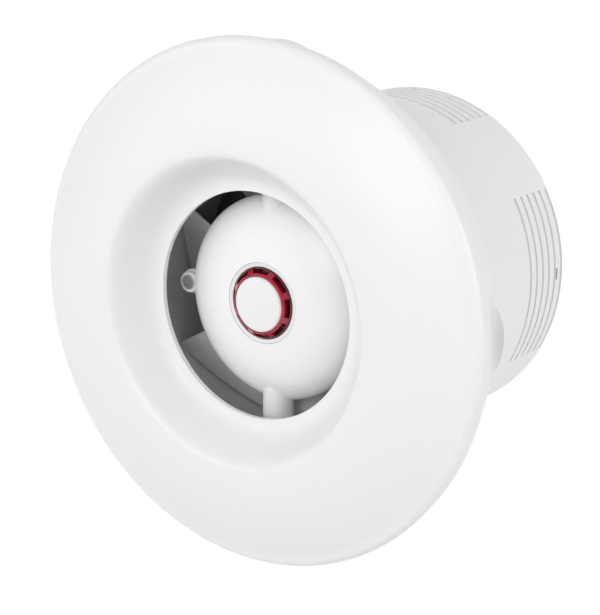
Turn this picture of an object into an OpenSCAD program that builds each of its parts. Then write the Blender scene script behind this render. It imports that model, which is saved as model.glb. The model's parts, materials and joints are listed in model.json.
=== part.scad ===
// Single-room heat recovery unit: a bell-mouth fascia and a reversing axial fan in front of a honeycomb
// heat store, all carried by a wall base whose spigot plugs into the wall tube.
// The origin is the centre of the base's wall face. +Y goes into the wall, the front faces -Y, +Z is up.

/* [Fascia] */
// How far the fascia reaches past the base's edge on the wall
fascia_reach = 7.5; // [5:0.5:10]
// Diameter of the throat
throat_d = 94.8; // [92:0.2:98]
// Height of the crest in front of the wall
crest_stand = 35.5; // [34:0.5:40]
// Height of the outer rim in front of the wall
rim_stand = 24.5; // [22:0.5:27]
// Height of the throat's edge in front of the wall
throat_stand = 19; // [18.5:0.5:21]
// How round the front face is from crest to rim
face_power = 1.9; // [1.5:0.1:2.4]
// How steep the bowl is below the crest
bowl_power = 1.35; // [1.1:0.05:1.6]
// Radius of the outer rim's front edge
rim_round = 4; // [2:0.5:5]
// Wall of the fascia
fascia_wall = 2.2; // [1.8:0.1:2.6]
// Width of a snap hook
hook_w = 12; // [8:1:16]

/* [Wall base] */
// How far the base reaches past the flanges
base_margin = 19; // [17:0.5:22]
// Height of the base's side wall
base_depth = 14.2; // [13:0.2:16]
// Thickness of the base's floor
floor_t = 3; // [2.6:0.2:4]
// Wall of the base's side
base_wall = 2.2; // [1.8:0.1:2.6]
// How far the finger lobes reach past the base's edge
lobe_reach = 4.5; // [3:0.5:5.5]
// Radius of a lobe's outline
lobe_r = 32.6; // [28:0.2:36]
// Radius of the finger scoop's hollow
scoop_r = 7; // [6:0.25:7]
// Radius of the bend along which the scoop fades out
scoop_bend = 50; // [40:1:60]
// Distance of the wall screw holes from the base's edge on the wall
wall_hole_inset = 10.5; // [9.5:0.5:12]
// Diameter of a wall screw hole
wall_hole_d = 5; // [4:0.5:5.5]
// Width of the foam seal
seal_w = 3; // [2:0.5:3.5]
// Thickness of the foam seal
seal_t = 1.5; // [1:0.25:2]

/* [Spigot] */
// Outside diameter of the spigot
spigot_d = 149; // [147:0.5:151]
// Wall of the spigot
spigot_wall = 3.4; // [3:0.1:3.6]
// How far the flanges reach past the spigot
flange_reach = 8; // [7.5:0.25:9]
// How far the spigot's shoulder stands out in the base's hole
shoulder_reach = 1.2; // [0.8:0.1:1.6]
// Thickness of the spigot's flange
flange_t = 2.6; // [2:0.2:3]
// Number of grooves in a patch
groove_count = 6; // [3:1:7]
// Distance from groove to groove
groove_pitch = 5.3; // [4.6:0.1:5.6]
// Width of a groove
groove_w = 1.6; // [1:0.2:2.2]
// Depth of a groove below the spigot's outside
groove_depth = 1.6; // [1:0.1:1.8]
// Angle that a patch of grooves spans
patch_angle = 58; // [50:1:64]
// Depth of a patch's lands below the spigot's outside
patch_depth = 0.3; // [0.2:0.1:0.6]
// Inward reach of the rear lip
lip_reach = 5; // [3:0.5:6]
// Thickness of the rear lip
lip_t = 2.5; // [2:0.25:3]

/* [Fan housing] */
// Room between the fan housing and the spigot's bore
duct_room = 3.9; // [3.4:0.1:4.6]
// Wall of the fan housing
duct_wall = 2; // [1.6:0.1:2.2]
// Length of the fan housing behind the wall plane
duct_len = 35.6; // [34:0.2:37]
// Thickness of the fan housing's flange
duct_flange_t = 2.4; // [2:0.2:2.6]

/* [Dome and carrier] */
// Largest diameter of the dome
dome_d = 81.4; // [79:0.2:83]
// Height of the dome's nose in front of the wall plane
dome_stand = 13.5; // [13:0.25:14]
// Roundness of the dome's shoulder
dome_power = 2.3; // [2:0.1:2.8]
// Wall of the dome
dome_wall = 1.8; // [1.5:0.1:2.2]
// Width of a column
column_w = 14; // [11:0.5:15]
// Distance of the dome's two screws from the dome's edge
dome_screw_out = 5.4; // [5:0.1:6]
// Outside diameter of a dome screw's boss
ear_d = 10.4; // [9:0.2:11]

/* [Button and light ring] */
// Diameter of the button
button_d = 23; // [21:0.5:24]
// Height of the button's edge in front of the wall plane
button_stand = 15.3; // [15:0.1:16]
// Height of the crown on the button's face
button_crown = 0.9; // [0.4:0.1:1.4]
// Travel of the button
button_travel = 0.8; // [0.4:0.1:1]
// Width of the red ring
ring_w = 3.6; // [3:0.1:4]
// Width of the pale seat round the red ring
seat_w = 1.9; // [1.2:0.1:2.4]
// Number of light slots
slot_count = 8; // [6:1:10]

/* [Impeller and motor] */
// Number of blades
blade_count = 6; // [4:1:7]
// Running gap between the blades and the fan housing
tip_gap = 1; // [0.6:0.1:1.6]
// Depth of a blade along the axis
blade_depth = 23; // [20:0.5:25]
// Angle that a blade wraps round the hub
blade_wrap = 50; // [40:1:54]
// Thickness of a blade
blade_t = 1.8; // [1.4:0.1:2.2]
// Turn of the first blade's leading edge, from +X to +Z
blade_phase = 28; // [0:1:59]
// Diameter of the impeller's hub
hub_d = 60; // [58:1:64]
// Diameter of the motor's bell
bell_d = 49; // [47:0.5:50]
// Diameter of the shaft
shaft_d = 4; // [3:0.5:4.5]
// Number of stator teeth
tooth_count = 9; // [6:3:12]

/* [Heat store] */
// Wall of the foam sleeve round the ceramic core
sleeve_wall = 3.6; // [3:0.1:5]
// Length of the ceramic core
core_len = 54; // [50:1:56]
// Distance from cell to cell
cell_pitch = 8; // [7:0.5:10]
// Wall between two cells
cell_wall = 1.4; // [1:0.1:2]
// Thickness of a filter
filter_t = 3.4; // [2.6:0.2:3.6]
// Thickness of the rear grille's bars
bar_t = 2.3; // [1.8:0.1:2.6]

/* [Fits] */
// Gap between fixed pieces
gap = 0.3; // [0.2:0.05:0.4]
// Radial clearance of the shaft in its bearings
run_gap = 0.05; // [0.02:0.01:0.08]
// Radial clearance of a bearing in its seat
seat_fit = 0.02; // [0.01:0.01:0.04]
// Radial clearance of a screw in its hole
screw_gap = 0.1; // [0.05:0.05:0.2]

/* [Hidden] */

round_fn = 160;
small_fn = 48;
eps = 0.01;
quarters = [0, 90, 180, 270];

// Stations along the axis, front to back
floor_y = -floor_t;
flange_y = floor_y - flange_t;
duct_flange_y = flange_y - duct_flange_t;
edge_y = -base_depth;
fascia_back_y = edge_y - gap;
collar_end_y = -11;
carrier_front_y = collar_end_y + gap;
plate_y = -1;
plate_t = 1.6;
plate_back_y = plate_y + plate_t;
core_inset = 1.4;
window_w = 5;
window_h = 1.4;
nub_gap = 0.2;
front_filter_y = duct_len + gap;
sleeve_y = front_filter_y + filter_t + gap;
core_y = sleeve_y + core_inset;
sleeve_end_y = core_y + core_len + core_inset;
rear_filter_y = sleeve_end_y + gap;
grille_y = rear_filter_y + filter_t + gap;
window_y = grille_y + window_h / 2 - nub_gap;
last_groove_y = window_y + groove_pitch * 0.72;
spigot_len = last_groove_y + 2;
lip_y = spigot_len - lip_t;
grille_back_y = lip_y - gap;

// Radii
spigot_r = spigot_d / 2;
bore_r = spigot_r - spigot_wall;
shoulder_r = spigot_r + shoulder_reach;
floor_in_r = shoulder_r + gap;
flange_r = spigot_r + flange_reach;
base_r = flange_r + base_margin;
fascia_r = base_r + fascia_reach;
base_front_r = fascia_r - 1.4;
duct_out_r = bore_r - duct_room;
duct_r = duct_out_r - duct_wall;
collar_r = duct_r - gap;
collar_wall = 2;
crest_r = collar_r + 0.1;
throat_r = throat_d / 2;
dome_r = dome_d / 2;
button_r = button_d / 2;
ring_r = button_r + ring_w;
hub_r = hub_d / 2;
bell_r = bell_d / 2;
shaft_r = shaft_d / 2;
tip_r = duct_r - tip_gap;
sleeve_out_r = bore_r - 1.7;
sleeve_in_r = sleeve_out_r - sleeve_wall;
core_r = sleeve_in_r - gap;

// Shapes turned about the Y axis; a profile is a list of [radius, y]
module turned(profile, angle = 360, fn = round_fn)
    rotate([-90, 0, 0]) rotate_extrude(angle = angle, $fn = fn) polygon(profile);

module disc(r, y0, y1, fn = round_fn)
    translate([0, y0, 0]) rotate([-90, 0, 0]) cylinder(h = y1 - y0, r = r, $fn = fn);

module ring(r_out, r_in, y0, y1, fn = round_fn)
    turned([[r_in, y0], [r_out, y0], [r_out, y1], [r_in, y1]], fn = fn);

// Part of a ring, centred on an angle that runs from +X to +Z
module arc_ring(r_out, r_in, y0, y1, mid, span)
    rotate([0, -mid - span / 2, 0])
        turned([[r_in, y0], [r_out, y0], [r_out, y1], [r_in, y1]], angle = span);

// Places children at a radius and an angle that runs from +X to +Z
module at(angle, r, y = 0)
    rotate([0, -angle, 0]) translate([r, y, 0]) children();

// A box by its extent along the radius, the axis and the tangent
module block(r0, r1, y0, y1, w)
    translate([r0, y0, -w / 2]) cube([r1 - r0, y1 - y0, w]);

// A cross-head screw whose head's underside is at y = 0; it points to +Y
module screw(shank_r, len, head_r, head_h) {
    difference() {
        disc(head_r, -head_h, 0, small_fn);
        for (turn = [0, 90])
            rotate([0, turn, 0])
                translate([-head_r * 0.6, -head_h - eps, -head_r * 0.1])
                    cube([head_r * 1.2, head_h * 0.55, head_r * 0.2]);
    }
    disc(shank_r, -eps, len, small_fn);
}

// ---------- Fascia ----------

face_steps = 22;
bowl_steps = 22;
rim_steps = 6;
// How much the side band leans in towards the wall
band_lean = 1;

function face_y(s) = -crest_stand + (crest_stand - rim_stand) * pow(s, face_power);
function bowl_y(u) =
    -throat_stand - (crest_stand - throat_stand) * (1 - cos(180 * pow(u, bowl_power))) / 2;

bowl_curve = [for (i = [0:bowl_steps - 1]) let (u = i / bowl_steps)
    [throat_r + u * (crest_r - throat_r), bowl_y(u)]];
face_curve = [for (i = [0:face_steps]) let (s = i / face_steps)
    [crest_r + s * (fascia_r - rim_round - crest_r), face_y(s)]];
rim_curve = [for (i = [1:rim_steps]) let (a = 90 * i / rim_steps)
    [fascia_r - rim_round + rim_round * sin(a), -rim_stand + rim_round * (1 - cos(a))]];
outer_skin = concat(bowl_curve, face_curve, rim_curve, [[fascia_r - band_lean, fascia_back_y]]);

// The skin moved inwards along its own normals
function inward(p, a, b, t) = let (d = b - a, n = norm(d)) p + t * [-d[1], d[0]] / n;
last = len(outer_skin) - 1;
inner_skin = [for (i = [last:-1:0])
    inward(outer_skin[i], outer_skin[max(i - 1, 0)], outer_skin[min(i + 1, last)], fascia_wall)];

hook_angles = [22.5, 112.5, 202.5, 292.5];
hook_inset = 5.9;
hook_r = base_r - base_wall - hook_inset;
hook_t = 2;
hook_nose = 1.4;
hook_end_y = floor_y - 1.5;
catch_h = 5;
hook_top_y = face_y((hook_r - crest_r) / (fascia_r - rim_round - crest_r)) + fascia_wall * 0.6;
collar_top_y = -crest_stand + fascia_wall * 0.6;

module front_fascia() color("white") {
    turned(concat(outer_skin, inner_skin));
    ring(collar_r, collar_r - collar_wall, collar_top_y, collar_end_y);
    for (a = hook_angles)
        at(a, 0) {
            block(hook_r, hook_r + hook_t, hook_top_y, hook_end_y, hook_w);
            translate([hook_r + hook_t, 0, -hook_w / 2])
                linear_extrude(hook_w)
                    polygon([[-eps, hook_end_y], [0, hook_end_y], [hook_nose, hook_end_y - hook_nose],
                        [hook_nose, hook_end_y - 2 * hook_nose], [-eps, hook_end_y - 2 * hook_nose]]);
        }
}

// ---------- Wall base ----------

lobe_at = base_r + lobe_reach - lobe_r;
scoop_at = base_r + lobe_reach + 1 + scoop_bend;
scoop_y = -(scoop_r + 1.2);
lobe_inner_r = base_r + lobe_reach + 1 - scoop_r - base_wall;
wall_hole_at = base_r - wall_hole_inset;
wall_hole_angles = [45, 135, 225, 315];
seal_r = base_r - base_wall;
duct_screw_at = flange_r - 4;
duct_screw_r = 1.5;
duct_screw_angles = [0, 90, 180, 270];
catch_r = hook_r + hook_t + gap;
cable_angle = 247;
cable_hole_r = 5;
grommet_lip = 1.2;
cable_at = flange_r + gap + cable_hole_r + grommet_lip;
floor_skin = seal_t + 0.1;
catch_t = 3;

module finger_scoop(r)
    translate([scoop_at, scoop_y, 0])
        rotate([-90, 0, 0])
            rotate_extrude($fn = round_fn) translate([scoop_bend, 0]) circle(r = r, $fn = 64);

module base_body()
    turned([[0, edge_y], [base_front_r, edge_y], [base_r, 0], [0, 0]]);

module base_plate() color("white") {
    difference() {
        union() {
            turned([[floor_in_r, floor_y], [base_r - base_wall, floor_y],
                [base_front_r - base_wall, edge_y], [base_front_r, edge_y], [base_r, 0],
                [floor_in_r, 0]]);
            for (a = quarters)
                at(a, 0) {
                    difference() {
                        translate([lobe_at, 0, 0]) disc(lobe_r, edge_y, 0);
                        disc(lobe_inner_r, edge_y - 1, 1);
                    }
                    intersection() {
                        base_body();
                        finger_scoop(scoop_r + base_wall);
                    }
                }
            for (a = wall_hole_angles) at(a, wall_hole_at) disc(wall_hole_d / 2 + 2.4, floor_y - 1.4, 0, small_fn);
            for (a = hook_angles)
                at(a, 0) {
                    block(catch_r + hook_nose + gap, catch_r + hook_nose + gap + catch_t,
                        hook_end_y - 2 * hook_nose - catch_h + 2, floor_y + eps, hook_w);
                    block(catch_r, catch_r + hook_nose + gap + eps,
                        hook_end_y - 2 * hook_nose - catch_h + 2, hook_end_y - 2 * hook_nose - gap, hook_w);
                }
        }
        for (a = quarters) at(a, 0) finger_scoop(scoop_r);
        for (a = wall_hole_angles) at(a, wall_hole_at) disc(wall_hole_d / 2, -base_depth, 1, small_fn);
        for (a = duct_screw_angles)
            at(a, duct_screw_at) disc(duct_screw_r + screw_gap, floor_y - 1, -0.8, small_fn);
        at(cable_angle, cable_at) disc(cable_hole_r, -base_depth, 1, small_fn);
        ring(seal_r, seal_r - seal_w, -seal_t, 1);
        for (p = floor_screws) at(p[0], p[1], 0) translate([0, 0, p[2]])
            disc(small_screw_r + screw_gap, floor_y - 1, -floor_skin, small_fn);
    }
}

module wall_seal() color("dimgray")
    ring(seal_r - gap / 2, seal_r - seal_w + gap / 2, -seal_t, 0);

// ---------- Spigot ----------

patch_start_y = last_groove_y - groove_pitch * groove_count;
rear_round = 1.2;

function groove_y(i) = i == 0 ? last_groove_y : last_groove_y - groove_pitch * i - 0.3;

module patch_cut(mid) {
    arc_ring(spigot_r + 1, spigot_r - patch_depth, patch_start_y, spigot_len + 1, mid, patch_angle);
    for (i = [0:groove_count - 1])
        arc_ring(spigot_r + 1, spigot_r - groove_depth, groove_y(i) - groove_w / 2,
            groove_y(i) + groove_w / 2, mid, patch_angle);
}

module spigot() color("white")
    difference() {
        turned([[bore_r, flange_y], [flange_r, flange_y], [flange_r, floor_y], [shoulder_r, floor_y],
            [shoulder_r, 0], [spigot_r, 0], [spigot_r, spigot_len - rear_round], [spigot_r - rear_round, spigot_len],
            [bore_r - lip_reach, spigot_len], [bore_r - lip_reach, lip_y], [bore_r, lip_y]]);
        for (a = quarters) patch_cut(a);
        for (a = quarters)
            at(a, 0) block(bore_r - 1, spigot_r + 1, window_y - window_h / 2, window_y + window_h / 2, window_w);
        for (a = duct_screw_angles)
            at(a, duct_screw_at) disc(duct_screw_r + screw_gap, flange_y - 1, floor_y + 1, small_fn);
    }

// ---------- Fan housing ----------

duct_front_y = edge_y;
ledge_t = 1.6;
ledge_reach = 1.4;
sensor_angle = 45;
duct_screw_len = -duct_flange_y - 1.4;

module fan_housing() color("gray")
    difference() {
        turned([[duct_r, duct_front_y], [duct_out_r, duct_front_y], [duct_out_r, duct_flange_y],
            [flange_r, duct_flange_y], [flange_r, flange_y], [duct_out_r, flange_y],
            [duct_out_r, duct_len], [duct_r, duct_len], [duct_r, plate_back_y],
            [duct_r - ledge_reach, plate_back_y], [duct_r - ledge_reach, plate_back_y - ledge_t],
            [duct_r, plate_back_y - ledge_t]]);
        for (a = duct_screw_angles)
            at(a, duct_screw_at) disc(duct_screw_r + screw_gap, duct_flange_y - 1, flange_y + 1, small_fn);
    }

module housing_screws() color("silver")
    for (a = duct_screw_angles)
        at(a, duct_screw_at, duct_flange_y) screw(duct_screw_r, duct_screw_len, 2.9, 1.8);

// ---------- Carrier and dome ----------

carrier_ring_y = plate_back_y - ledge_t - gap;
carrier_r = duct_r - gap;
carrier_wall = 2.4;
column_r = column_w / 2;
column_start = dome_r - dome_wall - 4;
rim_plate_r = dome_r - 0.4;
ear_r = ear_d / 2;
post_r = 3;
dome_screw_at = dome_r + dome_screw_out;
board_screw_angles = [30, 150, 270];
small_screw_r = 1.1;
board_t = 1.6;
board_back_y = -5;
board_y = board_back_y - board_t;
board_r = dome_r - dome_wall - 6.4;
board_screw_at = board_r - 5.5;
motor_screw_at = 11.5;
motor_screw_angles = [60, 180, 300];
tube_r = 7;
vent_r = 2.2;

module column() {
    intersection() {
        translate([column_start, plate_y, 0]) rotate([0, 90, 0])
            cylinder(h = carrier_r - carrier_wall / 2 - column_start, r = column_r, $fn = 96);
        block(0, carrier_r, plate_y - column_r - 1, plate_y + plate_t / 3, column_w + 2);
    }
}

module motor_carrier() color("white")
    difference() {
        union() {
            disc(rim_plate_r, plate_y, plate_back_y);
            ring(carrier_r, carrier_r - carrier_wall, carrier_front_y, carrier_ring_y);
            for (a = [90, 270]) at(a, 0) column();
            for (a = [0, 180])
                at(a, 0) {
                    block(rim_plate_r - 6, dome_screw_at, plate_y, plate_back_y, ear_d);
                    translate([dome_screw_at, 0, 0]) disc(ear_r, plate_y, plate_back_y, small_fn);
                }
            for (a = board_screw_angles) at(a, board_screw_at) disc(post_r, board_back_y, plate_y + eps, small_fn);
        }
        disc(tube_r + gap, plate_y - 1, plate_back_y + 1);
        for (a = motor_screw_angles)
            at(a, motor_screw_at) disc(small_screw_r + screw_gap, plate_y - 1, plate_back_y + 1, small_fn);
        for (a = board_screw_angles)
            at(a, board_screw_at) disc(small_screw_r + screw_gap, board_back_y - 1, plate_back_y + 1, small_fn);
        for (a = [0, 180])
            at(a, dome_screw_at) disc(dome_screw_r + screw_gap, plate_y - 1, plate_back_y + 1, small_fn);
    }

dome_base_y = plate_y - 3.4;
dome_steps = 26;
seat_r = ring_r + seat_w;
dome_screw_r = 1.5;
dome_screw_head_r = 2.9;
dome_screw_len = 4;
ear_h = 4.2;
ear_floor = 1.6;

// Height of a lens-shaped shell at a radius
function lens_y(r, big_r, top) =
    dome_base_y - top * pow(max(0, 1 - pow(r / big_r, dome_power)), 1 / dome_power);
dome_top = dome_stand + dome_base_y;
function lens(big_r, top, r0) = [for (i = [0:dome_steps])
    let (r = r0 + (big_r - r0) * sin(90 * i / dome_steps)) [r, lens_y(r, big_r, top)]];
function backwards(list) = [for (i = [len(list) - 1:-1:0]) list[i]];

module dome_shell() {
    outer = lens(dome_r, dome_top, seat_r);
    inner = lens(dome_r - dome_wall, dome_top - dome_wall, seat_r);
    turned(concat(outer, [[dome_r, plate_y], [dome_r - dome_wall, plate_y]], backwards(inner)));
}

module ear_shape(r, y0, y1) {
    block(dome_r - dome_wall / 2, dome_screw_at, y0, y1, 2 * r);
    translate([dome_screw_at, 0, 0]) disc(r, y0, y1, small_fn);
}

module hub_dome() color("white")
    difference() {
        union() {
            dome_shell();
            for (a = [0, 180]) at(a, 0) ear_shape(ear_r, plate_y - ear_h, plate_y);
        }
        for (a = [0, 180])
            at(a, dome_screw_at) {
                disc(dome_screw_r + screw_gap, plate_y - 9, plate_y + 1, small_fn);
                disc(dome_screw_head_r + gap, plate_y - 9, plate_y - ear_floor, small_fn);
            }
        for (a = [90, 270])
            at(a, 0) translate([column_start - 1, plate_y, 0]) rotate([0, 90, 0])
                cylinder(h = 12, r = column_r + gap, $fn = 96);
    }

module dome_screws() color("silver")
    for (a = [0, 180])
        at(a, dome_screw_at, plate_y - ear_floor) screw(dome_screw_r, dome_screw_len, dome_screw_head_r, 1.7);

// ---------- Light ring and button ----------

ring_inner_r = button_r + gap;
ring_wall = 1.2;
ring_front_y = -button_stand + 0.2;
ring_back_y = -dome_stand + 1.1;
guide_wall = 1.4;
guide_y = board_y - 1.9;
slot_angle = 0.74 * 360 / slot_count;
seat_front_y = lens_y(seat_r, dome_r, dome_top);
seat_flange_r = seat_r + 2;
seat_flange_y = lens_y(seat_flange_r, dome_r - dome_wall, dome_top - dome_wall) + gap;
seat_flange_t = 1.2;
seat_web_y = ring_back_y + ring_wall + gap;
seat_web_r = ring_r - 0.6;
seat_slack = gap / 2;

module seat_ring() color("gainsboro")
    turned([[ring_r + seat_slack, seat_web_y], [ring_r + seat_slack, ring_back_y - 0.2],
        [seat_r - seat_slack, seat_front_y + 0.1], [seat_r - seat_slack, seat_flange_y],
        [seat_flange_r, seat_flange_y], [seat_flange_r, seat_flange_y + seat_flange_t],
        [seat_web_r, seat_flange_y + seat_flange_t], [seat_web_r, seat_web_y]]);

module indicator_ring() color("crimson")
    difference() {
        turned([[ring_inner_r, ring_front_y], [ring_inner_r + 0.5, ring_front_y], [ring_r, ring_back_y],
            [ring_r, ring_back_y + ring_wall], [ring_inner_r + guide_wall, ring_back_y + ring_wall],
            [ring_inner_r + guide_wall, guide_y], [ring_inner_r, guide_y]]);
        for (i = [0:slot_count - 1])
            arc_ring(ring_r - 0.7, ring_inner_r + guide_wall - 0.4, ring_front_y - 1,
                ring_back_y + ring_wall + 1, i * 360 / slot_count, slot_angle);
    }

cap_wall = 1.6;
cap_skirt_y = -button_stand + 3.4;
stem_r = 3;
switch_top_y = board_y - 3.4;
plunger_r = 1.6;
plunger_top_y = switch_top_y - 1.4;
stem_end_y = plunger_top_y - gap / 2;
crown_steps = 10;
cap_round = 0.5;

function crown_y(r) = -button_stand - cap_round - button_crown * (1 - pow(r / button_r, 2));

module button_cap() color("white")
    turned(concat(
        [for (i = [0:crown_steps]) let (r = (button_r - cap_round) * i / crown_steps) [r, crown_y(r)]],
        [[button_r, -button_stand], [button_r, cap_skirt_y], [button_r - cap_wall, cap_skirt_y],
            [button_r - cap_wall, -button_stand + cap_wall], [stem_r, -button_stand + cap_wall],
            [stem_r, stem_end_y], [0, stem_end_y]]));

module button_plunger() color("dimgray")
    disc(plunger_r, plunger_top_y, switch_top_y + 0.6, small_fn);

module tact_switch() color("dimgray")
    difference() {
        translate([-3, switch_top_y, -3]) cube([6, board_y - switch_top_y, 6]);
        disc(plunger_r + run_gap, switch_top_y - 1, switch_top_y + 0.6 + button_travel + gap, small_fn);
    }

// ---------- Boards ----------

lamp_at = ring_inner_r + guide_wall / 2;
lamp_w = 2;

module control_board() color("darkgreen")
    difference() {
        disc(board_r, board_y, board_back_y);
        for (a = board_screw_angles)
            at(a, board_screw_at) disc(small_screw_r + screw_gap, board_y - 1, board_back_y + 1, small_fn);
    }

module board_screws() color("silver")
    for (a = board_screw_angles)
        at(a, board_screw_at, board_y) screw(small_screw_r, 5.2, 2, 1.2);

module board_lamps() color("ivory")
    for (i = [0:slot_count - 1])
        at(i * 360 / slot_count, lamp_at) block(-lamp_w / 2, lamp_w / 2, guide_y + gap, board_y, lamp_w);

// Controller, driver, regulator, capacitors and receiver: [x, z, width, height, thickness]
chips = [[-24, -4, 8, 8, 1.2], [15, 1, 5, 7, 1.4], [17, -9, 6, 5, 1.2], [-5, 19, 10, 5, 1],
    [-14, -22, 5, 5, 1.2]];

module board_chips() color("black")
    for (c = chips)
        translate([c[0], board_y - c[4], c[1]]) cube([c[2], c[4], c[3]]);

// ---------- Motor ----------

base_disc_y = plate_back_y;
base_disc_t = 1.6;
base_disc_r = 15;
stator_y = base_disc_y + base_disc_t + 3.4;
stator_len = 9;
bell_wall = 1.4;
magnet_t = 2;
stator_r = bell_r - bell_wall - magnet_t - 0.5;
bell_front_y = base_disc_y + base_disc_t + 0.8;
bearing_w = 4;
bearing_r = tube_r - 1.8;
tube_len = 20.5;
tube_end_y = base_disc_y + tube_len;
bell_end_y = tube_end_y + 0.8;
bell_back_y = bell_end_y + bell_wall;
shaft_front_y = base_disc_y + 0.4;
rear_bearing_y = tube_end_y - bearing_w - 0.4;
front_bearing_y = base_disc_y + 1.2;
tooth_w = 3.6;
tooth_tip = 2;
yoke_r = tube_r + 3.4;
coil_t = 1.4;

module motor_base() color("silver")
    difference() {
        union() {
            disc(base_disc_r, base_disc_y, base_disc_y + base_disc_t);
            disc(tube_r, plate_y, tube_end_y);
        }
        disc(shaft_r + 1, plate_y - 1, tube_end_y + 1, small_fn);
        disc(bearing_r + seat_fit, plate_y - 1, front_bearing_y + bearing_w);
        disc(bearing_r + seat_fit, rear_bearing_y, tube_end_y + 1);
        for (a = motor_screw_angles)
            at(a, motor_screw_at) disc(small_screw_r + screw_gap, base_disc_y - 1, base_disc_y + 2, small_fn);
    }

module motor_screws() color("silver")
    for (a = motor_screw_angles)
        at(a, motor_screw_at, plate_y) screw(small_screw_r, plate_t + base_disc_t - 0.2, 2, 1.2);

module bearing(y) {
    ring(bearing_r, bearing_r - 1, y, y + bearing_w, 96);
    ring(shaft_r + run_gap + 0.9, shaft_r + run_gap, y, y + bearing_w, 96);
    ring(bearing_r - 1 + eps, shaft_r + run_gap + 0.9 - eps, y + 0.4, y + bearing_w - 0.4, 96);
}

module front_bearing() color("silver") bearing(front_bearing_y);

module rear_bearing() color("silver") bearing(rear_bearing_y);

module motor_shaft() color("silver")
    disc(shaft_r, shaft_front_y, bell_back_y, small_fn);

tip_angle = 0.8 * 360 / tooth_count;

// One tooth's wedge, seen along the axis
module tip_wedge(reach)
    polygon([[0, 0], [reach, -reach * tan(tip_angle / 2)], [reach, reach * tan(tip_angle / 2)]]);

module stator_core() color("dimgray")
    translate([0, stator_y, 0]) rotate([-90, 0, 0])
        linear_extrude(stator_len)
            difference() {
                union() {
                    circle(r = yoke_r, $fn = round_fn);
                    for (i = [0:tooth_count - 1])
                        rotate(i * 360 / tooth_count)
                            translate([0, -tooth_w / 2]) square([stator_r - tooth_tip / 2, tooth_w]);
                    intersection() {
                        difference() {
                            circle(r = stator_r, $fn = round_fn);
                            circle(r = stator_r - tooth_tip, $fn = round_fn);
                        }
                        for (i = [0:tooth_count - 1])
                            rotate(i * 360 / tooth_count) tip_wedge(2 * stator_r);
                    }
                }
                circle(r = tube_r + gap, $fn = round_fn);
            }

coil_end = 2.2;
module stator_coils() color("chocolate")
    for (i = [0:tooth_count - 1])
        at(i * 360 / tooth_count, 0)
            difference() {
                block(yoke_r + 1, stator_r - tooth_tip - gap, stator_y - coil_end,
                    stator_y + stator_len + coil_end, tooth_w + 2 * coil_t);
                block(yoke_r, stator_r, stator_y - gap, stator_y + stator_len + gap, tooth_w + gap);
            }

module rotor_magnet() color("dimgray")
    ring(bell_r - bell_wall - seat_fit, bell_r - bell_wall - magnet_t, bell_front_y + 1, bell_end_y - 2);

module rotor_bell() color("silver")
    difference() {
        union() {
            ring(bell_r, bell_r - bell_wall, bell_front_y, bell_back_y);
            disc(bell_r - eps, bell_end_y, bell_back_y);
        }
        disc(shaft_r + seat_fit, bell_end_y - 1, bell_back_y + 1, small_fn);
        for (a = [0:60:300]) at(a, bell_r * 0.6) disc(vent_r, bell_end_y - 1, bell_back_y + 1, small_fn);
    }

// ---------- Impeller ----------

blade_y = 2.6;
hub_wall = 2;
hub_web_t = 2;
hub_front_y = blade_y - 0.4;
sleeve_r = bell_r + gap;
web_y = bell_back_y + gap;
hub_back_y = web_y + hub_web_t;
rib_count = 12;
rib_t = 1.4;
chord_steps = 14;
span_steps = 7;
blade_camber = 0.16;

// Points of a blade on the cylinder of radius r; u runs from the leading to the trailing edge
function mean_angle(u) = blade_wrap * u;
function mean_y(u) = blade_y + blade_depth * (u + blade_camber * sin(180 * u)) ;
function lean(r, u) = atan2(blade_depth * (1 + blade_camber * 3.14159 * cos(180 * u)),
    r * blade_wrap * 3.14159 / 180);
function half_t(u) = blade_t / 2 * pow(max(0, sin(180 * (0.04 + 0.92 * u))), 0.4);
function blade_point(r, u, side) =
    let (b = lean(r, u), h = side * half_t(u),
        a = mean_angle(u) - h * sin(b) * 180 / 3.14159 / r, y = mean_y(u) + h * cos(b))
        [r * cos(a), y, r * sin(a)];
function blade_section(r) = concat(
    [for (i = [0:chord_steps]) blade_point(r, i / chord_steps, -1)],
    [for (i = [chord_steps:-1:0]) blade_point(r, i / chord_steps, 1)]);

module blade() {
    m = 2 * (chord_steps + 1);
    root_r = hub_r - hub_wall / 2;
    points = [for (k = [0:span_steps])
        each blade_section(root_r + (tip_r - root_r) * k / span_steps)];
    sides = [for (k = [0:span_steps - 1], i = [0:m - 1]) let (j = (i + 1) % m)
        each [[k * m + i, k * m + j, (k + 1) * m + j], [k * m + i, (k + 1) * m + j, (k + 1) * m + i]]];
    strip = [for (i = [0:chord_steps - 1])
        each [[i, m - 1 - i, m - 2 - i], [i, m - 2 - i, i + 1]]];
    top = span_steps * m;
    polyhedron(points = points, faces = concat(sides, strip,
        [for (f = strip) [top + f[2], top + f[1], top + f[0]]]), convexity = 6);
}

module impeller() color("gray") {
    difference() {
        union() {
            ring(hub_r, hub_r - hub_wall, hub_front_y, hub_back_y);
            ring(sleeve_r + 1.5, sleeve_r, bell_front_y + 2, web_y + eps);
            disc(hub_r - eps, web_y, hub_back_y);
            for (i = [0:rib_count - 1])
                at(i * 360 / rib_count, 0)
                    block(sleeve_r + 1, hub_r - hub_wall + 0.5, bell_front_y + 4, web_y + eps, rib_t);
        }
        disc(shaft_r + gap, web_y - 1, hub_back_y + 1, small_fn);
    }
    for (i = [0:blade_count - 1]) at(blade_phase + i * 360 / blade_count, 0) blade();
}

// ---------- Heat store ----------

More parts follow.
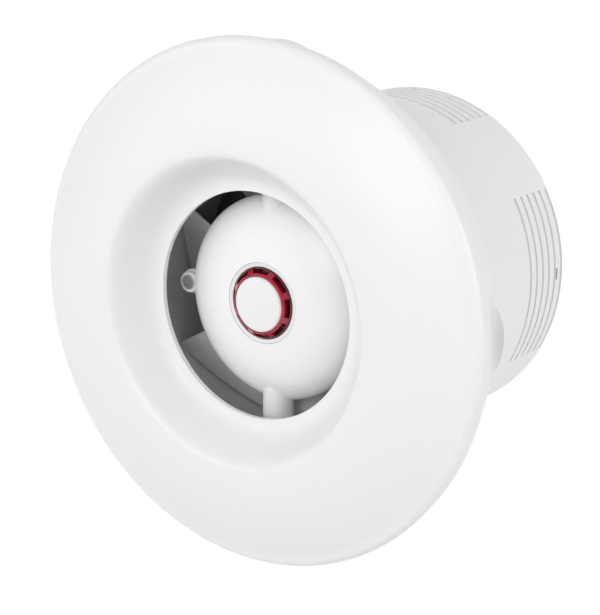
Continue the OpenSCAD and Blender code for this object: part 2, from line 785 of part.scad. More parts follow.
filter_r = bore_r - gap;
seal_at = 6;
seal_len = 6;
cells = ceil(core_r / cell_pitch);
cell_w = cell_pitch - cell_wall;
grille_rings = 4;
grille_spokes = 8;
bar_w = 1.8;
hub_ring_r = 8;
rim_w = 4;
function bar_ring_r(k) = hub_ring_r + (filter_r - rim_w - hub_ring_r) * k / grille_rings;

module front_filter() color("darkgray") disc(filter_r, front_filter_y, front_filter_y + filter_t);

module rear_filter() color("darkgray") disc(filter_r, rear_filter_y, rear_filter_y + filter_t);

module core_sleeve() color("whitesmoke")
    turned([[sleeve_in_r, core_y - gap], [core_r - 2, core_y - gap], [core_r - 2, sleeve_y],
        [sleeve_out_r, sleeve_y], [sleeve_out_r, sleeve_end_y], [core_r - 2, sleeve_end_y],
        [core_r - 2, core_y + core_len + gap], [sleeve_in_r, core_y + core_len + gap]]);

module core_seals() color("dimgray")
    for (y = [sleeve_y + seal_at, sleeve_end_y - seal_at - seal_len])
        ring(bore_r - gap * 0.7, sleeve_out_r + gap * 0.7, y, y + seal_len);

module heat_core() color("tan")
    translate([0, core_y, 0]) rotate([-90, 0, 0])
        linear_extrude(core_len)
            difference() {
                circle(r = core_r, $fn = round_fn);
                for (i = [-cells:cells], j = [-cells:cells])
                    if (norm([(abs(i) + 0.5) * cell_pitch, (abs(j) + 0.5) * cell_pitch]) < core_r)
                        translate([i * cell_pitch, j * cell_pitch]) square(cell_w, center = true);
            }

module rear_grille() color("white") {
    ring(filter_r, filter_r - rim_w, grille_y, grille_back_y);
    for (k = [0:grille_rings - 1])
        ring(bar_ring_r(k) + bar_w / 2, bar_ring_r(k) - bar_w / 2, grille_back_y - bar_t, grille_back_y);
    for (i = [0:grille_spokes - 1])
        at((i + 0.5) * 360 / grille_spokes, 0)
            block(hub_ring_r, filter_r - rim_w / 2, grille_back_y - bar_t, grille_back_y, bar_w);
    for (a = quarters)
        at(a, 0)
            block(filter_r - rim_w / 2, spigot_r - groove_depth, grille_y,
                window_y + window_h / 2 - nub_gap, window_w - 2 * gap);
}

module air_sensor() color("black")
    at(sensor_angle, 0) {
        block(duct_out_r + gap, bore_r - gap, duct_len - 9, duct_len - 2, 6);
    }

// ---------- Supply parts in the base ----------

module_w = 36;
module_h = 17;
module_r0 = flange_r + 1.6;
module_r1 = base_r - base_wall - 3.7;
foot_w = 6;
foot_t = 2;
terminal_w = 24;
terminal_h = 11;
terminal_r0 = flange_r + 2;
terminal_r1 = base_r - base_wall - 4.8;
pole_count = 3;
pole_r = 1.8;
foot_in = 2;
foot_out = 2.5;
foot_r = (module_r0 + foot_in + module_r1 - foot_out) / 2;
foot_at = (module_w + foot_w) / 2;
clamp_angle = 255;
clamp_w = 6;
clamp_span = 4.8;
clamp_h = 6.6;
clamp_reach = clamp_span + 2.1;
clamp_at = flange_r + gap + clamp_reach;
cable_r = 3.2;
floor_bite = floor_t - floor_skin - 0.1;
// Screws into the base's floor: [angle, radius, offset along the tangent]
floor_screws = [[90, foot_r, foot_at], [90, foot_r, -foot_at],
    [clamp_angle, clamp_at - clamp_span, 0], [clamp_angle, clamp_at + clamp_span, 0]];

module power_module() color("black")
    at(90, 0) {
        block(module_r0, module_r1, floor_y - module_h, floor_y, module_w);
        difference() {
            block(module_r0 + foot_in, module_r1 - foot_out, floor_y - foot_t, floor_y, module_w + 2 * foot_w);
            for (side = [-1, 1])
                translate([foot_r, 0, side * foot_at])
                    disc(small_screw_r + screw_gap, floor_y - 5, floor_y + 1, small_fn);
        }
    }

module module_screws() color("silver")
    at(90, 0)
        for (side = [-1, 1])
            translate([foot_r, floor_y - foot_t, side * foot_at])
                screw(small_screw_r, foot_t + floor_bite, 2, 1.2);

module terminal_block() color("ivory")
    at(270, 0)
        difference() {
            block(terminal_r0, terminal_r1, floor_y - terminal_h, floor_y, terminal_w);
            for (i = [0:pole_count - 1])
                translate([0, 0, terminal_w * ((i + 0.5) / pole_count - 0.5)]) {
                    translate([terminal_r0 + 5, 0, 0])
                        disc(pole_r + screw_gap, floor_y - terminal_h - 1, floor_y - 4, small_fn);
                    block(terminal_r1 - 3, terminal_r1 + 1, floor_y - 7, floor_y - 2.5, 4.5);
                }
        }

module terminal_screws() color("silver")
    at(270, 0)
        for (i = [0:pole_count - 1])
            translate([terminal_r0 + 5, 0, terminal_w * ((i + 0.5) / pole_count - 0.5)])
                difference() {
                    disc(pole_r, floor_y - terminal_h + 1, floor_y - 4.3, small_fn);
                    translate([-3, floor_y - terminal_h, -0.3]) cube([6, 1.8, 0.6]);
                }

module cable_grommet() color("black")
    at(cable_angle, cable_at)
        turned([[cable_r, floor_y - 1.6], [cable_hole_r + grommet_lip, floor_y - 1.6],
            [cable_hole_r + grommet_lip, floor_y], [cable_hole_r - gap, floor_y], [cable_hole_r - gap, 0],
            [cable_r, 0]], fn = small_fn);

module cable_clamp() color("ivory")
    at(clamp_angle, clamp_at)
        difference() {
            block(-clamp_reach, clamp_reach, floor_y - clamp_h, floor_y, clamp_w);
            translate([0, floor_y - cable_r * 0.7, -clamp_w])
                cylinder(h = 2 * clamp_w, r = cable_r, $fn = small_fn);
            block(-cable_r, cable_r, floor_y - cable_r * 0.7, floor_y + 1, clamp_w + 2);
            for (side = [-1, 1])
                translate([side * clamp_span, 0, 0])
                    disc(small_screw_r + screw_gap, floor_y - clamp_h - 1, floor_y + 1, small_fn);
        }

module clamp_screws() color("silver")
    at(clamp_angle, clamp_at)
        for (side = [-1, 1])
            translate([side * clamp_span, floor_y - clamp_h, 0])
                screw(small_screw_r, clamp_h + floor_bite, 2, 1.2);

front_fascia();
base_plate();
wall_seal();
spigot();
fan_housing();
housing_screws();
motor_carrier();
hub_dome();
dome_screws();
seat_ring();
indicator_ring();
button_cap();
button_plunger();
tact_switch();
control_board();
board_screws();
board_lamps();
board_chips();
motor_base();
motor_screws();
stator_core();
stator_coils();
front_bearing();
rear_bearing();
rotor_bell();
rotor_magnet();
motor_shaft();
impeller();
front_filter();
core_sleeve();
core_seals();
heat_core();
rear_filter();
rear_grille();
air_sensor();
power_module();
module_screws();
terminal_block();
terminal_screws();
cable_grommet();
cable_clamp();
clamp_screws();
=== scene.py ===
"""Single-room heat recovery unit: finishes, smooth shells and studio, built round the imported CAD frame."""

import json
import math

import bpy
import numpy as np
from mathutils import Matrix, Vector
from mathutils.bvhtree import BVHTree


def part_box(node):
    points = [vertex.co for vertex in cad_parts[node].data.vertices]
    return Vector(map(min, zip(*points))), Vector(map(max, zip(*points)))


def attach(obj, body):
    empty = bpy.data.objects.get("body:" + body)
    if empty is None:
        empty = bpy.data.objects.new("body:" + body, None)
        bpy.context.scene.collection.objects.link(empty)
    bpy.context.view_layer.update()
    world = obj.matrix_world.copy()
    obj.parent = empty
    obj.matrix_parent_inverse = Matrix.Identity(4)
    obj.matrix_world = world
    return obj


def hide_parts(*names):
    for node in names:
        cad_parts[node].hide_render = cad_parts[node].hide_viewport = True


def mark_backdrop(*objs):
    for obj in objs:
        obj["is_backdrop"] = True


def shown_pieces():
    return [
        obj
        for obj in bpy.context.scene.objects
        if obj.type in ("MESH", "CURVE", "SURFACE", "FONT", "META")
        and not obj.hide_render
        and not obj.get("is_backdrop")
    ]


bl_info = {
    "name": "Heat recovery unit",
    "version": (1, 0, 0),
    "blender": (4, 5, 0),
    "location": "View3D > Sidebar > Ventilation",
    "description": "Dresses a wall-mounted heat recovery unit and sets up its studio",
    "category": "Object",
}

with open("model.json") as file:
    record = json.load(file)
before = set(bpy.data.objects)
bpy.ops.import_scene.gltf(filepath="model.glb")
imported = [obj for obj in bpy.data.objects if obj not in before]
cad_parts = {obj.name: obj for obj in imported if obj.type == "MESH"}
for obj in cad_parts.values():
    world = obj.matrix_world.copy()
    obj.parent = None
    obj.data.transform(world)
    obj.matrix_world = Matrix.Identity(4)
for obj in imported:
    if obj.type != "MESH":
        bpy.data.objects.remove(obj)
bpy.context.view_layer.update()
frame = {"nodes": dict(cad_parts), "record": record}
NODES = frame["nodes"]

MM = 0.001
AROUND = 256
SHARP_ANGLE = math.radians(28)
WELD = 0.002 * MM
SMOOTHING = "weld_and_smooth"

# Image points in the photograph's frame; an edge gives one coordinate
IMAGE_W = 600
IMAGE_H = 615
LONG_SIDE = max(IMAGE_W, IMAGE_H)
POINTS = {
    "outline_left": (47.0, None),
    "outline_right": (562.5, None),
    "outline_top": (None, 37.0),
    "outline_bottom": (None, 567.5),
    "throat_centre": (256.8, 305.1),
    "throat_left": (164.0, 287.5),
    "throat_bottom": (271.5, 419.2),
    "button_centre": (259.2, 304.1),
    "red_ring_right": (295.0, 306.5),
    "dome_screw": (191.0, 280.0),
    "spigot_mark": (558.0, 260.0),
}


# ---------- Sizes read from the frame ----------


def node_span(name, axis):
    """Lowest and highest coordinate of a CAD node along one axis."""
    low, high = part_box(name)
    return low[axis], high[axis]


def node_radius(name):
    """Half the width of a CAD node that is round about the Y axis."""
    low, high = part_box(name)
    return (high[0] - low[0]) / 2


# ---------- Surfaces worked out with numpy ----------

MARK_LENGTH = 3.2 * MM
MARK_WIDTH = 1.6 * MM
MARK_RISE = 0.6 * MM


def turned(profile, centre=(0.0, 0.0)):
    """A closed profile carried round an axis along Y.

    For each profile point (r, y) and angle t the surface is (cx + r cos t, y, cz + r sin t).
    """
    profile = np.asarray(profile, float)
    angle = np.linspace(0.0, 2 * math.pi, AROUND, endpoint=False)
    r, y = profile[:, :1], profile[:, 1:]
    grid = np.empty((len(profile), AROUND, 3))
    grid[..., 0] = centre[0] + r * np.cos(angle)
    grid[..., 1] = y
    grid[..., 2] = centre[1] + r * np.sin(angle)
    return grid


def torus_quads(rows, columns):
    """Corner numbers of the quads of a grid that closes on itself both ways."""
    number = np.arange(rows * columns).reshape(rows, columns)
    beside = np.roll(number, -1, axis=1)
    corners = (number, beside, np.roll(beside, -1, axis=0), np.roll(number, -1, axis=0))
    return np.stack(corners, -1).reshape(-1, 4)


def facing_out(points, quads):
    """The quads, turned over if the closed surface's volume comes out negative."""
    a, b, c, d = (points[quads[:, i]] for i in range(4))
    volume = np.einsum("ij,ij->i", a, np.cross(b, c)) + np.einsum("ij,ij->i", a, np.cross(c, d))
    return quads if volume.sum() > 0 else quads[:, ::-1]


def solid_piece(name, grids, material, group):
    """One object from closed grids, with the CAD nodes' smooth shading."""
    points, quads, first = [], [], 0
    for grid in grids:
        flat = grid.reshape(-1, 3)
        points.append(flat)
        quads.append(facing_out(flat, torus_quads(*grid.shape[:2])) + first)
        first += len(flat)
    mesh = bpy.data.meshes.new(name)
    mesh.from_pydata(np.concatenate(points).tolist(), [], np.concatenate(quads).tolist())
    mesh.materials.append(material)
    piece = bpy.data.objects.new(name, mesh)
    bpy.context.scene.collection.objects.link(piece)
    piece.modifiers.new(SMOOTHING, "NODES").node_group = group
    return piece


def quarter_ellipse(radius, depth, base_y, mouth_r, steps=48):
    """Profile of a lens-shaped cap: r = R sin t and y = base - depth cos t, from its mouth to its rim."""
    t = np.linspace(math.asin(mouth_r / radius), math.pi / 2, steps)
    return np.stack((radius * np.sin(t), base_y - depth * np.cos(t)), -1)


def raised_pip(radius, angle, y, rows=24, columns=48):
    """A flat oval pip that wraps a cylinder along Y.

    It is a torus grid squeezed flat: u runs round the oval and v over its section, so that the
    height above the cylinder is rise * sin v and the reach from the pip's middle is 1 + cos v, halved.
    """
    u = np.linspace(0, 2 * math.pi, columns, endpoint=False)[None, :]
    v = np.linspace(0, 2 * math.pi, rows, endpoint=False)[:, None]
    reach = (1 + np.cos(v)) / 2
    height = radius + MARK_RISE * np.sin(v)
    turn = angle + reach * np.sin(u) * MARK_LENGTH / 2 / radius
    grid = np.empty((rows, columns, 3))
    grid[..., 0] = height * np.cos(turn)
    grid[..., 1] = y + reach * np.cos(u) * MARK_WIDTH / 2
    grid[..., 2] = height * np.sin(turn)
    return grid


# ---------- Where the photograph shows things ----------


def camera_axes(camera):
    """The camera's place and its axes as the columns of a matrix."""
    matrix = camera.matrix_world
    return np.array(matrix.translation), np.array(matrix.to_3x3())


def focal(camera):
    """Focal length in image pixels."""
    return LONG_SIDE * camera.data.lens / camera.data.sensor_width


def shown_at(camera, points):
    """Pixels at which points in space show."""
    place, axes = camera_axes(camera)
    local = (np.atleast_2d(points) - place) @ axes
    ahead = -local[:, 2:]
    x = IMAGE_W / 2 - camera.data.shift_x * LONG_SIDE + local[:, :1] / ahead * focal(camera)
    y = IMAGE_H / 2 + camera.data.shift_y * LONG_SIDE - local[:, 1:2] / ahead * focal(camera)
    return np.hstack((x, y))


def place_on(camera, point, carrier):
    """Where the ray through an image point meets the carrier as finished, or the place nearest the ray."""
    x, y = point
    ray = Vector(
        (
            x - IMAGE_W / 2 + camera.data.shift_x * LONG_SIDE,
            IMAGE_H / 2 - y + camera.data.shift_y * LONG_SIDE,
            -focal(camera),
        )
    )
    start = camera.matrix_world.translation
    way = (camera.matrix_world.to_3x3() @ ray).normalized()
    tree = BVHTree.FromObject(carrier, bpy.context.evaluated_depsgraph_get())
    hit = tree.ray_cast(start, way)
    if hit[0] is not None:
        return hit[0]
    corners = finished_points(carrier)
    apart = corners - np.array(start)
    along = apart @ np.array(way)
    off = np.linalg.norm(apart - along[:, None] * np.array(way), axis=1)
    return Vector(corners[off.argmin()])


def finished_points(piece):
    """World places of a piece's vertices after its modifiers."""
    seen = piece.evaluated_get(bpy.context.evaluated_depsgraph_get())
    mesh = seen.to_mesh()
    flat = np.empty(len(mesh.vertices) * 3)
    mesh.vertices.foreach_get("co", flat)
    seen.to_mesh_clear()
    return flat.reshape(-1, 3)


# ---------- Shader expressions ----------


class Field:
    """A number socket in a node tree; Python operators add Math nodes."""

    def __init__(self, shader, socket):
        self.shader = shader
        self.socket = socket

    def _math(self, operation, first, second=0.0):
        node = self.shader.node("ShaderNodeMath", {"operation": operation}, {0: first, 1: second})
        return Field(self.shader, node.outputs[0])

    def __add__(self, other):
        return self._math("ADD", self, other)

    __radd__ = __add__

    def __mul__(self, other):
        return self._math("MULTIPLY", self, other)

    __rmul__ = __mul__

    def __sub__(self, other):
        return self._math("SUBTRACT", self, other)

    def __rsub__(self, other):
        return self._math("SUBTRACT", other, self)

    def clipped(self):
        """The value held between 0 and 1."""
        return self._math("MINIMUM", self._math("MAXIMUM", self, 0.0), 1.0)

    def above(self, edge):
        """1 where the value is more than edge, else 0."""
        return self._math("GREATER_THAN", self, edge)


class Shader:
    """Builds one material round a Principled BSDF."""

    def __init__(self, name):
        self.material = bpy.data.materials.new(name)
        self.material.use_nodes = True
        self.tree = self.material.node_tree
        self.tree.nodes.clear()
        output = self.tree.nodes.new("ShaderNodeOutputMaterial")
        self.surface = self.tree.nodes.new("ShaderNodeBsdfPrincipled")
        self.tree.links.new(self.surface.outputs[0], output.inputs[0])
        self.place = self.tree.nodes.new("ShaderNodeTexCoord").outputs["Object"]

    @classmethod
    def of(cls, material):
        """The builder of a material made before."""
        made = cls.__new__(cls)
        made.material, made.tree = material, material.node_tree
        made.surface = next(n for n in made.tree.nodes if n.type == "BSDF_PRINCIPLED")
        made.place = next(n for n in made.tree.nodes if n.type == "TEX_COORD").outputs["Object"]
        return made

    def node(self, kind, settings=None, inputs=None):
        """Adds any node: settings first, then values or links of its sockets."""
        made = self.tree.nodes.new(kind)
        for key, value in (settings or {}).items():
            setattr(made, key, value)
        for key, value in (inputs or {}).items():
            self.feed(made.inputs[key], value)
        return made

    def feed(self, socket, value):
        """Links a field or a socket, or sets a constant."""
        if isinstance(value, Field):
            value = value.socket
        if isinstance(value, bpy.types.NodeSocket):
            self.tree.links.new(value, socket)
        else:
            socket.default_value = value

    def set(self, **values):
        """Sets or links sockets of the Principled BSDF; underscores stand for spaces."""
        for key, value in values.items():
            self.feed(self.surface.inputs[key.replace("_", " ")], value)
        return self

    def noise(self, scale, detail=2.0, roughness=0.5, stretch=(1, 1, 1)):
        """Noise between 0 and 1 at a scale per metre."""
        mapped = self.node("ShaderNodeMapping", {}, {"Vector": self.place, "Scale": stretch})
        sockets = {"Vector": mapped.outputs[0], "Scale": scale, "Detail": detail, "Roughness": roughness}
        made = self.node("ShaderNodeTexNoise", {}, sockets)
        return Field(self, made.outputs["Fac"])

    def cells(self, scale):
        """Distance to the edge of Voronoi cells at a scale per metre."""
        sockets = {"Vector": self.place, "Scale": scale}
        made = self.node("ShaderNodeTexVoronoi", {"feature": "DISTANCE_TO_EDGE"}, sockets)
        return Field(self, made.outputs["Distance"])

    def along(self, axis):
        """One object coordinate in metres; axis is 0, 1 or 2."""
        split = self.node("ShaderNodeSeparateXYZ", {}, {0: self.place})
        return Field(self, split.outputs[axis])

    def blend(self, mask, low, high):
        """A colour between two colours by a mask; a Mix node takes colours at 6 and 7 and gives one at 2."""
        made = self.node("ShaderNodeMix", {"data_type": "RGBA"}, {0: mask, 6: low, 7: high})
        return made.outputs[2]

    def bump(self, height, strength, distance):
        """A normal from a height field."""
        made = self.node("ShaderNodeBump", {}, {"Strength": strength, "Distance": distance, "Height": height})
        return made.outputs["Normal"]


# ---------- Finishes ----------

# How far the rear grille's latches reach in from its widest radius
LATCH_LENGTH = 1.4 * MM
# Painted shade: the latches that show in the spigot's windows are painted this near black, in place of the
# shade inside the windows
LATCH_PAINTED_SHADE = (0.02, 0.02, 0.02)
# The red ring takes no painted shade this deep from its front, then painted shade darkens it over the second
# depth
RING_UNSHADED_DEPTH = 1.4 * MM
RING_PAINTED_SHADE_DEPTH = 1.2 * MM
# Share of a finish's colour that is left in its darkest spots
MOULD_SHADE = 0.975
# Share of the red ring's colour left by painted shade on its deeper parts
RING_PAINTED_SHADE = 0.08
METAL_SHADE = 0.8
# Share of the foam's colour left in its pores by painted shade
PORE_PAINTED_SHADE = 0.35
CLAY_SHADE = 0.82
# A track under the solder mask is this much brighter than the board
TRACK_SHADE = 1.8


def rgba(colour, share=1.0):
    """A colour times a share, with full alpha."""
    return tuple(channel * share for channel in colour) + (1.0,)


def moulded(name, colour, roughness, grain=0.15):
    """Moulded plastic: a faint tone drift, a fine spark-eroded grain and uneven gloss."""
    shader = Shader(name)
    tone = shader.noise(9.0, 3.0)
    fine = shader.noise(2600.0, 2.0, 0.6)
    wave = shader.noise(45.0, 2.0)
    shader.set(
        Base_Color=shader.blend(tone, rgba(colour), rgba(colour, MOULD_SHADE)),
        Roughness=(fine - 0.5) * 0.06 + (wave - 0.5) * 0.05 + roughness,
        Normal=shader.bump(fine + wave * 0.4, grain, 0.04 * MM),
        IOR=1.46,
    )
    return shader.material


def grille_shell_painted_shade(name, colour):
    """The rear grille's plastic, with painted shade: the latches that show in the spigot's windows are
    painted near black, in place of the shade inside those windows.
    """
    material = moulded(name, colour, 0.34)
    shader = Shader.of(material)
    x, z = shader.along(0), shader.along(2)
    painted_shade_latch = (x * x + z * z).above((node_radius("rear_grille") - LATCH_LENGTH) ** 2)
    shader.set(Base_Color=shader.blend(painted_shade_latch, rgba(colour), rgba(LATCH_PAINTED_SHADE)))
    return material


def clear_red(name, colour):
    """Translucent red plastic with a faint painted glow in place of light from the lamps behind it, and
    painted shade that darkens it towards its back.
    """
    shader = Shader(name)
    streak = shader.noise(420.0, 2.0, 0.5, (1, 0.25, 1))
    front = node_span("indicator_ring", 1)[0]
    # Painted shade: past a set depth from its front the ring darkens towards its back; random streaks add a
    # little to the mask
    depth = ((shader.along(1) - (front + RING_UNSHADED_DEPTH)) * (1 / RING_PAINTED_SHADE_DEPTH)).clipped()
    shader.set(
        Base_Color=shader.blend((streak * 0.25 + depth).clipped(), rgba(colour), rgba(colour, RING_PAINTED_SHADE)),
        Roughness=streak * 0.1 + 0.1,
        Normal=shader.bump(streak, 0.2, 0.1 * MM),
        Transmission_Weight=0.12,
        IOR=1.49,
        Coat_Weight=0.5,
        Coat_Roughness=0.05,
        # A faint painted glow, in place of light from the lamps behind the ring
        Emission_Color=rgba(colour),
        Emission_Strength=0.05,
    )
    return shader.material


def metal(name, colour, roughness):
    """Plated or cast metal with fine turning marks."""
    shader = Shader(name)
    marks = shader.noise(900.0, 3.0, 0.6, (1, 6, 1))
    shader.set(
        Base_Color=shader.blend(marks, rgba(colour), rgba(colour, METAL_SHADE)),
        Roughness=(marks - 0.5) * 0.2 + roughness,
        Normal=shader.bump(marks, 0.3, 0.05 * MM),
        Metallic=1.0,
    )
    return shader.material


def mat_foam(name, colour, pore_scale):
    """Open-cell filter mat or foam: bright fibres, with painted shade in the pores between them."""
    shader = Shader(name)
    pores = shader.cells(pore_scale)
    fuzz = shader.noise(pore_scale * 1.7, 3.0)
    # Painted shade in the pores: the cells darken away from their edges, and a random fuzz varies the tone
    wall = (1 - (pores * 9).clipped()) * 0.8 + fuzz * 0.2
    shader.set(
        Base_Color=shader.blend(wall, rgba(colour, PORE_PAINTED_SHADE), rgba(colour)),
        Roughness=0.95,
        Normal=shader.bump(wall, 0.8, 0.6 * MM),
        Specular_IOR_Level=0.2,
    )
    return shader.material


def fired_clay(name, colour):
    """Unglazed honeycomb ceramic."""
    shader = Shader(name)
    spots = shader.noise(700.0, 4.0, 0.7)
    shader.set(
        Base_Color=shader.blend(spots, rgba(colour), rgba(colour, CLAY_SHADE)),
        Roughness=0.9,
        Normal=shader.bump(spots, 0.5, 0.2 * MM),
    )
    return shader.material


def board_face(name, colour):
    """Black solder mask with faint copper tracks under it."""
    shader = Shader(name)
    tracks = shader.cells(260.0)
    raised = (tracks * 40).above(3.0)
    shader.set(
        Base_Color=shader.blend(raised, rgba(colour), rgba(colour, TRACK_SHADE)),
        Roughness=0.35,
        Normal=shader.bump(raised, 0.3, 0.05 * MM),
    )
    return shader.material


def make_finishes(look):
    """One material for each slot of the record."""
    return {
        "white_shell": moulded("white_shell", tuple(look.shell_colour), 0.34),
        "grey_plastic": moulded("grey_plastic", tuple(look.fan_colour), 0.5, 0.25),
        "pale_plastic": moulded("pale_plastic", tuple(look.seat_colour), 0.4),
        "red_clear": clear_red("red_clear", tuple(look.ring_colour)),
        "black_plastic": moulded("black_plastic", (0.02, 0.02, 0.02), 0.45, 0.3),
        "board": board_face("board", (0.008, 0.01, 0.01)),
        "lamp": moulded("lamp", (0.8, 0.77, 0.62), 0.25),
        "steel": metal("steel", (0.84, 0.84, 0.85), 0.42),
        "cast_metal": metal("cast_metal", (0.5, 0.5, 0.51), 0.5),
        "lamination": metal("lamination", (0.2, 0.21, 0.22), 0.45),
        "copper": metal("copper", (0.6, 0.25, 0.1), 0.35),
        "zinc_steel": metal("zinc_steel", (0.5, 0.51, 0.52), 0.35),
        "magnet": moulded("magnet", (0.05, 0.05, 0.055), 0.6, 0.3),
        "filter_foam": mat_foam("filter_foam", (0.42, 0.42, 0.43), 900.0),
        "dark_foam": mat_foam("dark_foam", (0.05, 0.05, 0.055), 1600.0),
        "sleeve_foam": mat_foam("sleeve_foam", (0.8, 0.8, 0.79), 500.0),
        "ceramic": fired_clay("ceramic", (0.62, 0.5, 0.36)),
        "ivory_plastic": moulded("ivory_plastic", (0.78, 0.74, 0.6), 0.4),
        "black_rubber": moulded("black_rubber", (0.015, 0.015, 0.015), 0.7, 0.4),
    }


# ---------- Smooth shading of the CAD nodes ----------


def smoothing_nodes(sharp_angle):
    """A node group that welds loose triangles and shades all but the sharp edges smooth."""
    group = bpy.data.node_groups.new(SMOOTHING, "GeometryNodeTree")
    group.interface.new_socket("Geometry", in_out="INPUT", socket_type="NodeSocketGeometry")
    group.interface.new_socket("Geometry", in_out="OUTPUT", socket_type="NodeSocketGeometry")
    start = group.nodes.new("NodeGroupInput")
    end = group.nodes.new("NodeGroupOutput")
    bare = group.nodes.new("GeometryNodeRemoveAttribute")
    bare.inputs["Name"].default_value = "custom_normal"
    weld = group.nodes.new("GeometryNodeMergeByDistance")
    weld.inputs["Distance"].default_value = WELD
    angle = group.nodes.new("GeometryNodeInputMeshEdgeAngle")
    compare = group.nodes.new("FunctionNodeCompare")
    compare.operation = "LESS_THAN"
    compare.inputs[1].default_value = sharp_angle
    edges = group.nodes.new("GeometryNodeSetShadeSmooth")
    edges.domain = "EDGE"
    faces = group.nodes.new("GeometryNodeSetShadeSmooth")
    faces.domain = "FACE"
    link = group.links.new
    link(start.outputs[0], bare.inputs["Geometry"])
    link(bare.outputs[0], weld.inputs["Geometry"])
    link(weld.outputs[0], faces.inputs["Geometry"])
    link(faces.outputs[0], edges.inputs["Geometry"])
    link(angle.outputs["Unsigned Angle"], compare.inputs[0])
    link(compare.outputs[0], edges.inputs["Shade Smooth"])
    link(edges.outputs[0], end.inputs[0])
    return group


# ---------- Camera and stage ----------

CAMERA_REACH = (0.01, 30.0)
# Soft boxes: place, aim and size
KEY_BOX = ((-1.0, -1.3, 0.45), (0, 0, 0), (1.2, 1.2))
FRONT_BOX = ((0.1, -1.15, 0.42), (0, 0, 0), (0.6, 0.6))
FILL_BOX = ((1.5, 0.12, 0.5), (0, 0.03, 0), (1.0, 1.0))
STAGE_HALF = 4
FLOOR_Z = -0.6
BACKDROP_Y = 3
BACKDROP_HEIGHT = 5
STAGE_SHADE = (0.8, 0.8, 0.8, 1.0)


def add_camera(rig):
    """The photograph's camera, placed by its direction and distance from the throat."""
    data = bpy.data.cameras.new("camera")
    data.lens = rig.lens
    data.sensor_width = rig.sensor
    data.sensor_fit = "AUTO"
    data.clip_start, data.clip_end = CAMERA_REACH
    camera = bpy.data.objects.new("camera", data)
    bpy.context.scene.collection.objects.link(camera)
    camera.location = Vector(rig.place)
    away = Vector(rig.place) - Vector(rig.aim)
    camera.rotation_euler = away.to_track_quat("Z", "Y").to_euler()
    bpy.context.scene.camera = camera
    return camera


def add_lamp(name, place, aim, size, power):
    """A square soft box that points at a place."""
    data = bpy.data.lights.new(name, "AREA")
    data.shape = "RECTANGLE"
    data.size = size[0]
    data.size_y = size[1]
    data.energy = power
    lamp = bpy.data.objects.new(name, data)
    bpy.context.scene.collection.objects.link(lamp)
    lamp.location = Vector(place)
    lamp.rotation_euler = (Vector(place) - Vector(aim)).to_track_quat("Z", "Y").to_euler()
    return lamp


def camera_white(name, colour):
    """A surface that shows white to camera, gloss and clear plastic, and its own shade to light."""
    material = bpy.data.materials.new(name)
    material.use_nodes = True
    tree = material.node_tree
    tree.nodes.clear()
    output = tree.nodes.new("ShaderNodeOutputMaterial")
    diffuse = tree.nodes.new("ShaderNodeBsdfDiffuse")
    diffuse.inputs[0].default_value = colour
    glow = tree.nodes.new("ShaderNodeEmission")
    path = tree.nodes.new("ShaderNodeLightPath")
    mix = tree.nodes.new("ShaderNodeMixShader")
    link = tree.links.new
    seen = path.outputs["Is Camera Ray"]
    for ray in ("Is Glossy Ray", "Is Transmission Ray"):
        either = tree.nodes.new("ShaderNodeMath")
        either.operation = "MAXIMUM"
        link(seen, either.inputs[0])
        link(path.outputs[ray], either.inputs[1])
        seen = either.outputs[0]
    link(seen, mix.inputs[0])
    link(diffuse.outputs[0], mix.inputs[1])
    link(glow.outputs[0], mix.inputs[2])
    link(mix.outputs[0], output.inputs[0])
    return material


def white_world(strength):
    """A plain world: white to the camera, softer to the object."""
    world = bpy.data.worlds.new("studio")
    world.use_nodes = True
    tree = world.node_tree
    back = tree.nodes["Background"]
    path = tree.nodes.new("ShaderNodeLightPath")
    pick = tree.nodes.new("ShaderNodeMapRange")
    pick.inputs["To Min"].default_value = strength
    pick.inputs["To Max"].default_value = 1.0
    tree.links.new(path.outputs["Is Camera Ray"], pick.inputs["Value"])
    tree.links.new(pick.outputs[0], back.inputs["Strength"])
    back.inputs["Color"].default_value = (1, 1, 1, 1)
    bpy.context.scene.world = world


def plane(name, corner, across, along, material):
    """A flat sheet from a corner and two edges."""
    corner, across, along = (np.array(v, float) for v in (corner, across, along))
    mesh = bpy.data.meshes.new(name)
    corners = [corner, corner + across, corner + across + along, corner + along]
    mesh.from_pydata([tuple(p) for p in corners], [], [(0, 1, 2, 3)])
    sheet = bpy.data.objects.new(name, mesh)
    mesh.materials.append(material)
    bpy.context.scene.collection.objects.link(sheet)
    return sheet


# ---------- Properties ----------


class HeatUnitLook(bpy.types.PropertyGroup):
    """Colours of the unit's finishes."""

    shell_colour: bpy.props.FloatVectorProperty(
        name="Shell", description="White moulded shells", subtype="COLOR", default=(0.9, 0.9, 0.9)
    )
    fan_colour: bpy.props.FloatVectorProperty(
        name="Fan", description="Grey blades and housing", subtype="COLOR", default=(0.78, 0.78, 0.785)
    )
    seat_colour: bpy.props.FloatVectorProperty(
        name="Ring seat", description="Pale seat of the red ring", subtype="COLOR", default=(0.88, 0.88, 0.88)
    )
    ring_colour: bpy.props.FloatVectorProperty(
        name="Light ring", description="Red translucent ring", subtype="COLOR", default=(0.47, 0.003, 0.03)
    )


class HeatUnitDome(bpy.types.PropertyGroup):
    """The dome cover's outside, as the photograph shows it."""

    radius: bpy.props.FloatProperty(
        name="Radius", description="Radius of the dome's rim", default=43.3 * MM, unit="LENGTH"
    )
    wall: bpy.props.FloatProperty(
        name="Wall", description="Thickness of the dome", default=1.8 * MM, unit="LENGTH"
    )
    rim_height: bpy.props.FloatProperty(
        name="Rim", description="Straight rim below the dome's curve", default=0.5 * MM, unit="LENGTH"
    )
    boss_radius: bpy.props.FloatProperty(
        name="Boss", description="Radius of a screw boss", default=4.4 * MM, unit="LENGTH"
    )


